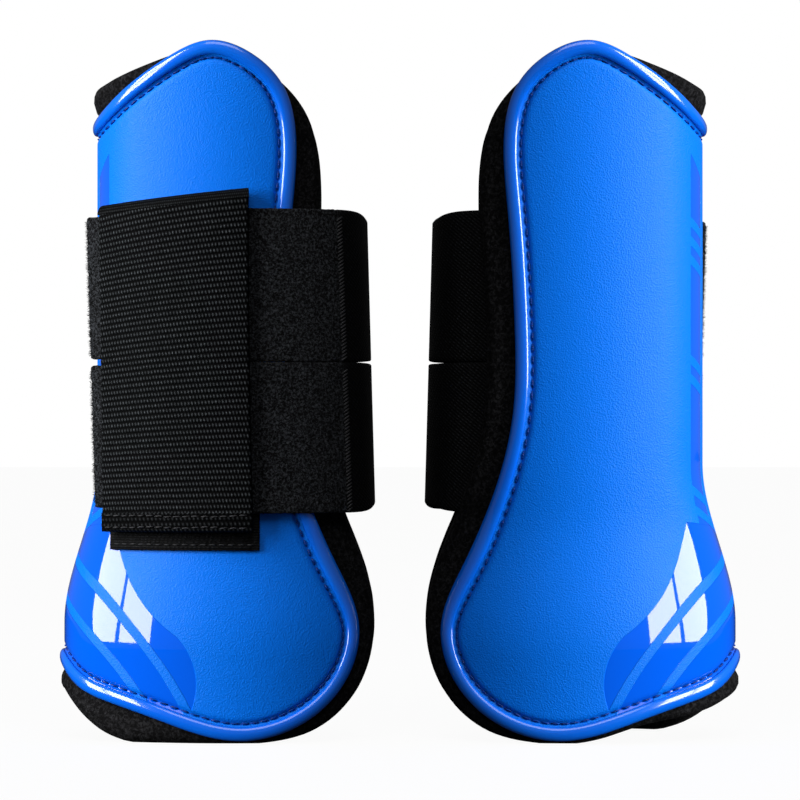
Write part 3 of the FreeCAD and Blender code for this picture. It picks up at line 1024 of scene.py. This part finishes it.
def buildFlap():
    # The hanging panel, its weave raised as real relief on the outer face.
    first, last = flapFirst * flap["radius"], flapLast * flap["radius"]
    width = last - first
    bm = bmesh.new()
    raised = bm.verts.layers.float.new("raised")

    def put(u, v, depth, relief):
        angle = flapFirst + (flapLast - flapFirst) * u
        top = foldLine(angle)
        z = flap["bottom"] + (top - flap["bottom"]) * v
        x = first + width * u
        x += 0.35 * math.sin(v * 3.1) * (1 - 2 * u) + flap["skew"] * (1 - v) ** 1.3
        edge = min(1.0, min(u, 1 - u) * width / 0.9, v * 110 / 0.8)
        lift = 0.0
        if relief:
            row = weaveRow(u, v)
            selvage = 1.0 if 2.6 < u * width < width - 2.6 else 0.82
            lift = flap["relief"] * weaveHeight(row, u * flap["bumps"]) * edge * selvage
            if v * flap["rows"] < flap["bindingRows"]:
                lift = 0.5 * weaveHeight(row, u * flap["bumps"] * 0.8) * edge + 0.45
        slump = 0.25 * noise.noise(Vector((x * 0.06, z * 0.04, 1.0)))
        softening = (1 - edge) * 0.8 if relief else 0.0
        return Vector((x, depth - lift + softening + slump, z))

    columns, rows = flap["columns"], flap["fineRows"]
    front = gridFrom(bm, columns, rows, lambda u, v: put(u, v, 0.35, True))
    # The weave height kept on each vertex also sets the webbing's painted highlight on yarn tops and painted
    # shade in the gaps. The highlight fades at the side edges and varies at random.
    for number, vert in enumerate(front):
        u, v = (number % (columns + 1)) / columns, (number // (columns + 1)) / rows
        edge = min(1.0, min(u, 1 - u) * width / 0.5) * (0.75 + 0.25 * rng.random())
        hem = v * flap["rows"] < flap["bindingRows"]
        bumps = flap["bumps"] * (0.8 if hem else 1.0)
        vert[raised] = edge * (0.8 if hem else 1.0) * weaveHeight(weaveRow(u, v), u * bumps)
    closeBack(bm, lambda co: flap["thickness"] + 0.25 * noise.noise(Vector((co.x * 0.06, co.z * 0.04, 1.0))),
              38, 66, lambda u, v: put(u, v, flap["thickness"], False))
    bmesh.ops.recalc_face_normals(bm, faces=bm.faces)
    bendRound(bm, flap["radius"])
    return toPieces(bm, "webbing_flap", "flap", ["flap_webbing", "flap_end_binding"],
                    webbingFinish)


def buildFold():
    # The webbing turned over at the top, plain where the weave is pulled tight.
    small, large = 1.2, 3.35
    bm = bmesh.new()
    raised = bm.verts.layers.float.new("raised")

    def put(u, v, radius, relief):
        angle = flapFirst + (flapLast - flapFirst) * u
        turn = math.pi * v
        ring = radius + (relief * weaveHeight(v * flap["foldRibs"], u * flap["bumps"] * 1.6) if relief else 0)
        out = -math.cos(turn) * ring
        up = math.sin(turn) * ring
        point = onFlank(flap["foldRadius"] + out, angle, foldLine(angle) + up)
        return point / mm

    columns, rows = flap["foldColumns"], flap["foldRows"]
    outer = gridFrom(bm, columns, rows, lambda u, v: put(u, v, large, 0.08))
    for number, vert in enumerate(outer):
        u, v = (number % (columns + 1)) / columns, (number // (columns + 1)) / rows
        # Strength of the painted highlight on the fold's yarn tops, dimmed and varied at random.
        foldHighlightStrength = 0.85 * rng.uniform(0.8, 1.0)
        vert[raised] = foldHighlightStrength * weaveHeight(v * flap["foldRibs"], u * flap["bumps"] * 1.6)
    gridFrom(bm, columns, 12, lambda u, v: put(u, v, small, 0.0))
    bmesh.ops.bridge_loops(bm, edges=openEdges(bm))
    bmesh.ops.recalc_face_normals(bm, faces=bm.faces)
    mapPattern(bm)
    for vert in bm.verts:
        vert.co *= mm
    inner = onFlank(flap["foldRadius"] - 2.6, flapMiddle, flap["foldHeight"])
    outer = onFlank(flap["foldRadius"] + 2.6, flapMiddle, flap["foldHeight"])
    return toPieces(bm, "webbing_fold", "boot", ["flap_fold"], webbingFinish,
                    blendTo=("flap", inner, outer))


flapHook = {"radius": 73.0, "thickness": 0.9, "margin": 2.0, "fromFold": 6.0}


def buildFlapHook():
    radius, margin = flapHook["radius"], flapHook["margin"]
    first, last = flapFirst * radius + margin, flapLast * radius - margin
    bm = bmesh.new()
    heights = (flap["bottom"] + margin, flap["foldHeight"] - flapHook["fromFold"])
    roundedPanel(bm, (first, last), heights, flapHook["thickness"], 60, 110,
                 lambda co: co + Vector((0, 0.12 * noise.noise(co * 1.3), 0)))
    bendRound(bm, radius)
    return toPieces(bm, "flap_hook_tape", "flap", ["flap_hook"], hookFinish)


flapStitch = {"rows": ((77.6, 0.5), (73.8, 0.9)), "pitch": 3.1, "length": 2.9, "width": 0.6, "lift": 0.55}


def buildFlapStitches():
    # Two rows of black lock stitches across the bound end, the lower one wandering a little.
    bm = bmesh.new()
    radius = flap["radius"]
    first, last = flapFirst * radius + 2.0, flapLast * radius - 2.0
    count = int((last - first) / flapStitch["pitch"])
    for rowHeight, wander in flapStitch["rows"]:
        for number in range(count):
            x = first + (last - first) * (number + 0.5) / count
            z = rowHeight + wander * noise.noise(Vector((x * 0.09, rowHeight, 2.0)))
            for vert, along, across, up in threadBar(bm, flapStitch["length"], flapStitch["width"],
                                                     flapStitch["width"], 0.35):
                flatX = x + along + flap["skew"] * 0.95
                vert.co = Vector((flatX, -flapStitch["lift"] - up, z + across + along * 0.06))
    bmesh.ops.recalc_face_normals(bm, faces=bm.faces)
    bendRound(bm, radius, stitchGap)
    return toPieces(bm, "flap_stitches", "flap", ["flap_stitching"], blackThread)


hookBase = {"backX": -39.9, "frontX": 11.0, "bottom": 65.8, "lift": 1.6, "thickness": 1.3}


def buildHookBase():
    # Hook tape sewn to the shell, flat on it, with its close-set hooks as a fine relief.
    bm = bmesh.new()

    def put(u, v, lift, relief):
        top = foldLine(flapFirst + (flapLast - flapFirst) * (1 - u)) - 0.2
        z = hookBase["bottom"] + (top - hookBase["bottom"]) * v
        # Below the calf the shell swells, so the tape's sides stay over the same x.
        first, last = -runTo(hookBase["frontX"], z), -runTo(hookBase["backX"], z)
        s = first + (last - first) * u
        # The front corner is tucked down behind the upper strap.
        z -= 6.5 * smoothStep((0.115 - u) / 0.03) * smoothStep((v - 0.8) / 0.2)
        edge = min(1.0, min(u, 1 - u) * 50 / 0.7, min(v, 1 - v) * 115 / 0.7)
        rough = relief * noise.noise(Vector((s * 2.2, z * 2.2, 0.5)))
        selvage = 0.25 if min(u, 1 - u) * 50 < 3 else 0.0
        return Vector((s, lift + (rough - selvage) * edge - (1 - edge) * 0.4 * (relief > 0), z))

    gridFrom(bm, 130, 200, lambda u, v: put(u, v, hookBase["lift"], 0.22))
    under = hookBase["lift"] - hookBase["thickness"]
    closeBack(bm, lambda co: under, 26, 40, lambda u, v: put(u, v, under, 0.0))
    wrapAll(bm)
    return toPieces(bm, "hook_base_tape", "boot", ["hook_base"], hookFinish)


baseStitch = {"height": 67.8, "pitch": 3.0, "length": 2.6, "width": 0.55, "lift": 0.25}


def buildBaseStitches():
    bm = bmesh.new()
    z = baseStitch["height"]
    first, last = -runTo(hookBase["frontX"] - 1.5, z), -runTo(hookBase["backX"] + 1.5, z)
    count = int(abs(last - first) / baseStitch["pitch"])
    for number in range(count):
        s = first + (last - first) * (number + 0.5) / count
        for vert, along, across, up in threadBar(bm, baseStitch["length"], baseStitch["width"],
                                                 baseStitch["width"], 0.35):
            vert.co = Vector((s + along, hookBase["lift"] + baseStitch["lift"] + up, z + across))
    wrapAll(bm, stitchGap)
    return toPieces(bm, "base_stitches", "boot", ["base_stitching"], blackThread)


buildFlap()
buildFold()
buildFlapHook()
buildFlapStitches()
buildHookBase()
buildBaseStitches()


studio = {
    "floorSize": 6.0, "floorColour": (0.06, 0.06, 0.06, 1), "worldStrength": 0.12, "floorGlow": 0.95,
    "paneTurns": (53.0, 72.0), "paneHeights": (0.24, 0.62), "paneWatts": 4.4, "fillWatts": 10,
    "cameraHeight": 0.1171, "cameraDistance": 1.5, "viewWidth": 0.2754, "sharpY": -0.02, "sensor": 36.0,
}


def buildFloor():
    mesh = bpy.data.meshes.new("studio_floor")
    bm = bmesh.new()
    bmesh.ops.create_grid(bm, x_segments=2, y_segments=2, size=studio["floorSize"])
    bm.to_mesh(mesh)
    bm.free()
    material, tree, shader, _ = newMaterial("paleFloor", {
        "Base Color": studio["floorColour"], "Roughness": 0.9, "Emission Color": (1, 1, 1, 1)})
    seen = addNode(tree, "ShaderNodeLightPath").outputs["Is Camera Ray"]
    feed(tree, shader, {"Emission Strength": calc(tree, "MULTIPLY", seen, studio["floorGlow"])})
    mesh.materials.append(material)
    floor = bpy.data.objects.new("studio_floor", mesh)
    bpy.context.scene.collection.objects.link(floor)


def addSoftbox(name, place, aim, width, height, power):
    light = bpy.data.lights.new(name, "AREA")
    light.shape = "RECTANGLE"
    light.size = width
    light.size_y = height
    light.energy = power
    lamp = bpy.data.objects.new(name, light)
    lamp.location = place
    lamp.rotation_euler = (Vector(aim) - Vector(place)).to_track_quat("-Z", "Y").to_euler()
    bpy.context.scene.collection.objects.link(lamp)
    return lamp


def buildStudio():
    # Soft white surroundings that light the boots only dimly, so the softboxes model them.
    world = bpy.data.worlds.new("studio")
    world.use_nodes = True
    tree = world.node_tree
    background = tree.nodes["Background"]
    background.inputs["Color"].default_value = (1, 1, 1, 1)
    seen = addNode(tree, "ShaderNodeLightPath")
    strength = calc(tree, "MULTIPLY_ADD", seen.outputs["Is Camera Ray"], 1 - studio["worldStrength"],
                    studio["worldStrength"])
    tree.links.new(strength, background.inputs["Strength"])
    bpy.context.scene.world = world
    bpy.context.scene.view_settings.view_transform = "Standard"
    # Each boot has its own window of four panes, off to its outer side.
    for letter, side in (("a", -1), ("b", 1)):
        lit = bpy.data.collections.new(f"lit_boot_{letter}")
        for piece in bpy.data.objects:
            if piece.type == "MESH" and piece.name.endswith(f"_{letter}"):
                lit.objects.link(piece)
        for pane, turn in enumerate(studio["paneTurns"]):
            place = (side * math.sin(math.radians(turn)), -math.cos(math.radians(turn)))
            for row, height in enumerate(studio["paneHeights"]):
                lamp = addSoftbox(f"window_{letter}_{pane}{row}", (place[0], place[1], height),
                                  (side * 0.06, 0, 0.1), 0.30, 0.34, studio["paneWatts"])
                lamp.light_linking.receiver_collection = lit
    addSoftbox("front_softbox", (0, -1.2, 1.5), (0, 0, 0.1), 1.2, 1.0, studio["fillWatts"])


def buildCamera():
    data = bpy.data.cameras.new("camera")
    data.sensor_width = studio["sensor"]
    data.lens = studio["sensor"] * (studio["cameraDistance"] + studio["sharpY"]) / studio["viewWidth"]
    data.clip_start = 0.01
    camera = bpy.data.objects.new("camera", data)
    camera.location = (0, -studio["cameraDistance"], studio["cameraHeight"])
    camera.rotation_euler = (math.pi / 2, 0, 0)
    bpy.context.scene.collection.objects.link(camera)
    bpy.context.scene.camera = camera


buildFloor()
buildStudio()
buildCamera()
